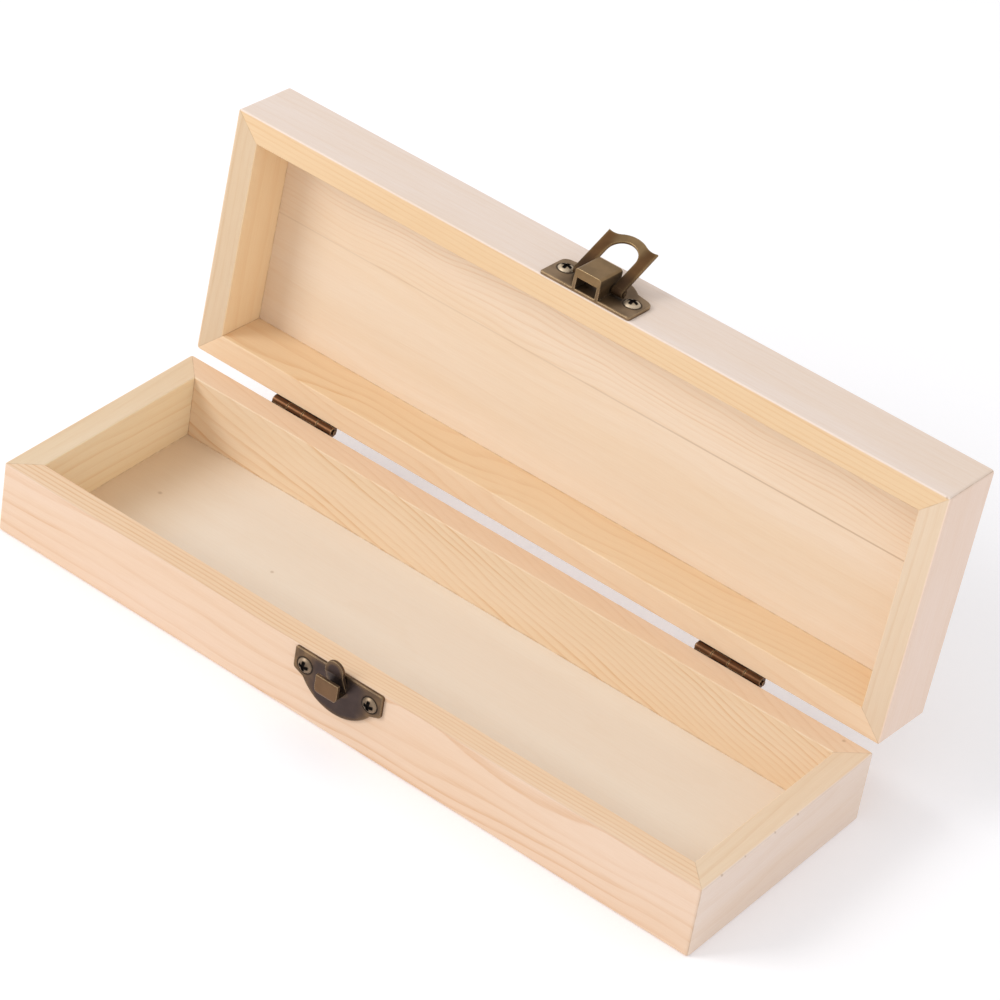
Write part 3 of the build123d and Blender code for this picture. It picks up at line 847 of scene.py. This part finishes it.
class PENCILBOX_OT_stage(bpy.types.Operator):
    """Lay a plain pale floor, hang soft lights and set up the camera"""

    bl_idname = "pencilbox.stage"
    bl_label = "Stage"

    def execute(self, context):
        stage = context.scene.pencil_box_stage
        bpy.ops.object.select_all(action="DESELECT")
        bpy.ops.mesh.primitive_plane_add(size=FLOOR_SIDE, location=(0, 0, -FLOOR_DROP))
        floor = context.object
        floor.name = "floor"
        material, tree, shader = new_material("pale floor")
        cloud = noise(tree, tree.nodes.new("ShaderNodeTexCoord").outputs["Object"], 3.0, 2.0)
        low = opaque([0.985 * c for c in stage.floor])
        tree.links.new(mixed(tree, cloud, low, opaque(stage.floor)), shader.inputs["Base Color"])
        shader.inputs["Roughness"].default_value = 0.9
        shader.inputs["Specular IOR Level"].default_value = 0.1
        shader.inputs["Emission Color"].default_value = opaque(stage.floor_glow)
        shader.inputs["Emission Strength"].default_value = 1.0
        floor.data.materials.append(material)

        world = bpy.data.worlds.new("soft studio")
        context.scene.world = world
        world.use_nodes = True
        background = world.node_tree.nodes["Background"]
        background.inputs["Color"].default_value = (1.0, 1.0, 1.0, 1.0)
        background.inputs["Strength"].default_value = stage.daylight

        towards = Vector(stage.key_direction).normalized()
        bpy.ops.object.light_add(type="AREA", location=Vector(KEY_OVER) + stage.key_distance * towards)
        light = context.object
        light.name = "key light"
        light.data.shape = "SQUARE"
        light.data.size = stage.key_size
        light.data.energy = stage.key_power
        light.rotation_euler = towards.to_track_quat("Z", "Y").to_euler()

        azimuth, elevation, roll = stage.camera_azimuth, stage.camera_elevation, stage.camera_roll
        back = Vector((
            math.sin(azimuth) * math.cos(elevation),
            -math.cos(azimuth) * math.cos(elevation),
            math.sin(elevation),
        ))
        right = (-back).cross(Vector((0, 0, 1))).normalized()
        up = right.cross(-back)
        turned_right = math.cos(roll) * right + math.sin(roll) * up
        turned_up = math.cos(roll) * up - math.sin(roll) * right
        bpy.ops.object.camera_add()
        camera = context.object
        camera.name = "camera"
        aim = Matrix((turned_right, turned_up, back)).transposed().to_4x4()
        camera.matrix_world = Matrix.Translation(stage.camera_place) @ aim
        camera.data.sensor_width = SENSOR_WIDTH
        camera.data.lens = stage.lens
        camera.data.shift_x, camera.data.shift_y = CAMERA_SHIFT
        camera.data.clip_start, camera.data.clip_end = CAMERA_CLIP
        context.scene.camera = camera
        context.scene.view_settings.view_transform = "Standard"
        context.scene.view_settings.look = "None"
        return {"FINISHED"}


class PENCILBOX_PT_panel(bpy.types.Panel):
    """The pencil box's sizes, colours and steps"""

    bl_idname = "PENCILBOX_PT_panel"
    bl_label = "Pencil Box"
    bl_space_type = "VIEW_3D"
    bl_region_type = "UI"
    bl_category = "Pencil Box"

    def draw(self, context):
        for step in STEPS:
            self.layout.operator(step.bl_idname)
        for group in (context.scene.pencil_box_wood, context.scene.pencil_box_stage):
            box = self.layout.box()
            for name in group.__annotations__:
                box.prop(group, name)


STEPS = (
    PENCILBOX_OT_shared_effects,
    PENCILBOX_OT_pine_boards,
    PENCILBOX_OT_plywood_floor,
    PENCILBOX_OT_fittings,
    PENCILBOX_OT_stage,
)
CLASSES = (PencilBoxWood, PencilBoxStage, *STEPS, PENCILBOX_PT_panel)


def register():
    for cls in CLASSES:
        bpy.utils.register_class(cls)
    bpy.types.Scene.pencil_box_wood = PointerProperty(type=PencilBoxWood)
    bpy.types.Scene.pencil_box_stage = PointerProperty(type=PencilBoxStage)


def unregister():
    del bpy.types.Scene.pencil_box_stage
    del bpy.types.Scene.pencil_box_wood
    for cls in reversed(CLASSES):
        bpy.utils.unregister_class(cls)


def main():
    register()
    bpy.ops.pencilbox.shared_effects()
    bpy.ops.pencilbox.pine_boards()
    bpy.ops.pencilbox.plywood_floor()
    bpy.ops.pencilbox.fittings()
    bpy.ops.pencilbox.stage()


if __name__ == "__main__":
    main()
